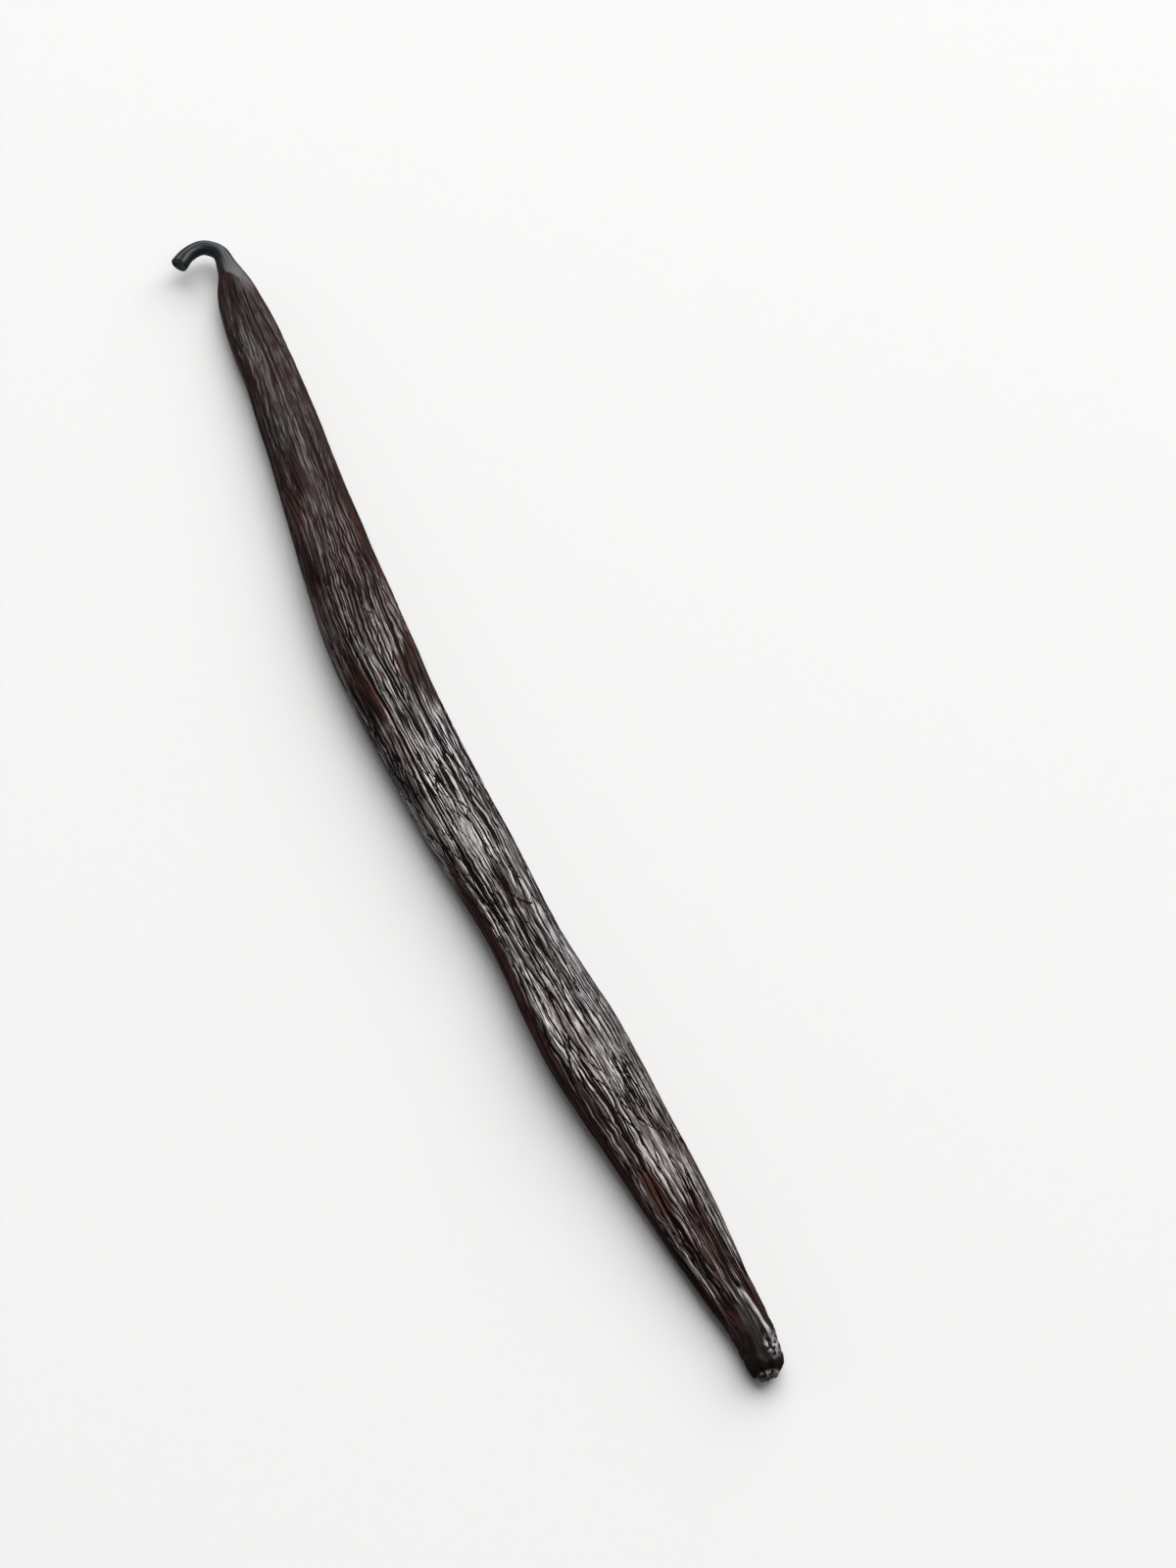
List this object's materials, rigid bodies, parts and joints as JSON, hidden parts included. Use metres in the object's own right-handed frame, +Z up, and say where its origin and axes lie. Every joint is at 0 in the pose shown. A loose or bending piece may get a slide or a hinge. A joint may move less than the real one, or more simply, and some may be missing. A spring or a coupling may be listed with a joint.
{
  "type": "vanilla pod",
  "caption": "Long, thin, flattened cured vanilla pod lying on its side, with wrinkled oily dark skin, a hooked stem end and a blunt flower end.",
  "frame": {"origin": "under the middle of the pod's box, on the surface that it lies on", "axes": "+X runs along the pod from the hooked stem to the blunt flower end, +Z is up"},
  "size_m": [0.1654, 0.0138, 0.0056],
  "materials": {
    "skin": "oily, wrinkled, near-black brown"
  },
  "bodies": {
    "root": {"pod": "skin"}
  },
  "joints": []
}
